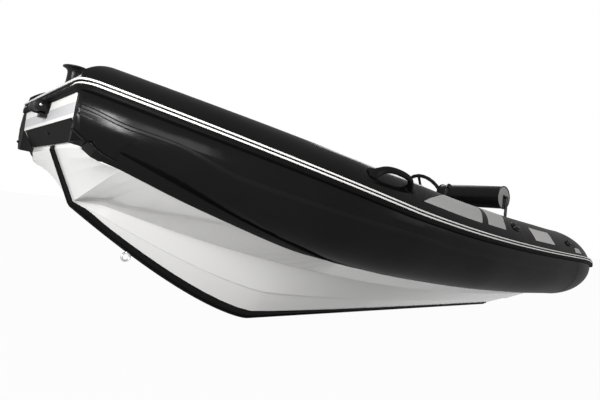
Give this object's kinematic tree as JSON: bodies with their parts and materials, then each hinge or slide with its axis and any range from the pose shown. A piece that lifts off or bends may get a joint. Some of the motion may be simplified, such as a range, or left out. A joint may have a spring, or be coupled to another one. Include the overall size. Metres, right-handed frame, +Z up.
{
  "type": "rigid-hulled inflatable boat",
  "caption": "Rigid-hulled inflatable boat with black tubes, white deep-V hull, blunt bow platform, low helm console and bench with a roll backrest.",
  "frame": {"origin": "on the centreline amidships, at the level the boat floats at", "axes": "+X towards the bow, +Y to port, +Z up"},
  "size_m": [3.7638, 1.7826, 1.0282],
  "materials": {
    "gelcoat": "glossy gelcoat",
    "deck_nonslip": "moulded non-slip gelcoat",
    "tube_fabric": "smooth satin coated fabric",
    "nose_white": "smooth coated fabric with a grey band",
    "rail_rubber": "extruded rubber with two white stripes",
    "black_rubber": "moulded rubber",
    "black_plastic": "moulded, fine grain",
    "stainless": "polished stainless steel",
    "pad_plate": "hard plastic plate",
    "bolster_vinyl": "marine vinyl, light grey end caps",
    "seat_vinyl": "stitched marine vinyl",
    "wheel_grip": "soft grip over a steel core"
  },
  "bodies": {
    "boat": {"hull": "gelcoat", "deck": "deck_nonslip", "transom": "gelcoat", "motor_pads": "pad_plate", "bow_platform": "gelcoat", "bow_locker_hinges": "stainless", "bow_bitt": "black_plastic", "bow_roller_bracket": "black_plastic", "bow_eye": "stainless", "keel_guard": "black_rubber", "port_tube": "tube_fabric", "starboard_tube": "tube_fabric", "port_stern_cone": "tube_fabric", "starboard_stern_cone": "tube_fabric", "nose_tube": "tube_fabric", "nose_panel": "nose_white", "nose_apron": "tube_fabric", "port_rub_rail": "rail_rubber", "starboard_rub_rail": "rail_rubber", "nose_rub_rail": "rail_rubber", "port_joint_flap": "tube_fabric", "starboard_joint_flap": "tube_fabric", "port_grab_handle": "black_rubber", "starboard_grab_handle": "black_rubber", "tube_valves": "black_plastic", "transom_tow_eyes": "stainless", "drain_plug": "black_plastic", "console": "gelcoat", "steering_mount": "black_plastic", "throttle_control": "black_plastic", "seat_box": "gelcoat", "seat_hatch_hinges": "stainless", "seat_cushion": "seat_vinyl", "backrest_pivots": "stainless"},
    "bow_lid": {"bow_locker_lid": "gelcoat", "bow_locker_cushion": "seat_vinyl"},
    "roller": {"bow_roller": "black_rubber"},
    "wheel": {"steering_wheel": "wheel_grip"},
    "hatch": {"seat_hatch": "gelcoat"},
    "backrest": {"backrest_frame": "stainless", "backrest_bolster": "bolster_vinyl"}
  },
  "joints": [
    {"name": "bow_lid_hinge", "type": "hinge", "parent": "boat", "child": "bow_lid", "pos_m": [1.174, 0, 0.398], "axis": [0, 1, 0], "range_deg": [0, 95]},
    {"name": "bow_roller_spin", "type": "hinge", "parent": "boat", "child": "roller", "pos_m": [1.778, 0, 0.652], "axis": [0, 1, 0], "continuous": true},
    {"name": "steering", "type": "hinge", "parent": "boat", "child": "wheel", "pos_m": [-0.595, 0, 0.58], "axis": [-0.866, 0, 0.5], "range_deg": [-540, 540]},
    {"name": "seat_hatch_hinge", "type": "hinge", "parent": "boat", "child": "hatch", "pos_m": [-0.851, 0, 0.111], "axis": [0, 1, 0], "range_deg": [0, 90]},
    {"name": "backrest_fold", "type": "hinge", "parent": "boat", "child": "backrest", "pos_m": [-1.194, 0, 0.285], "axis": [0, 1, 0], "range_deg": [0, 40]}
  ]
}
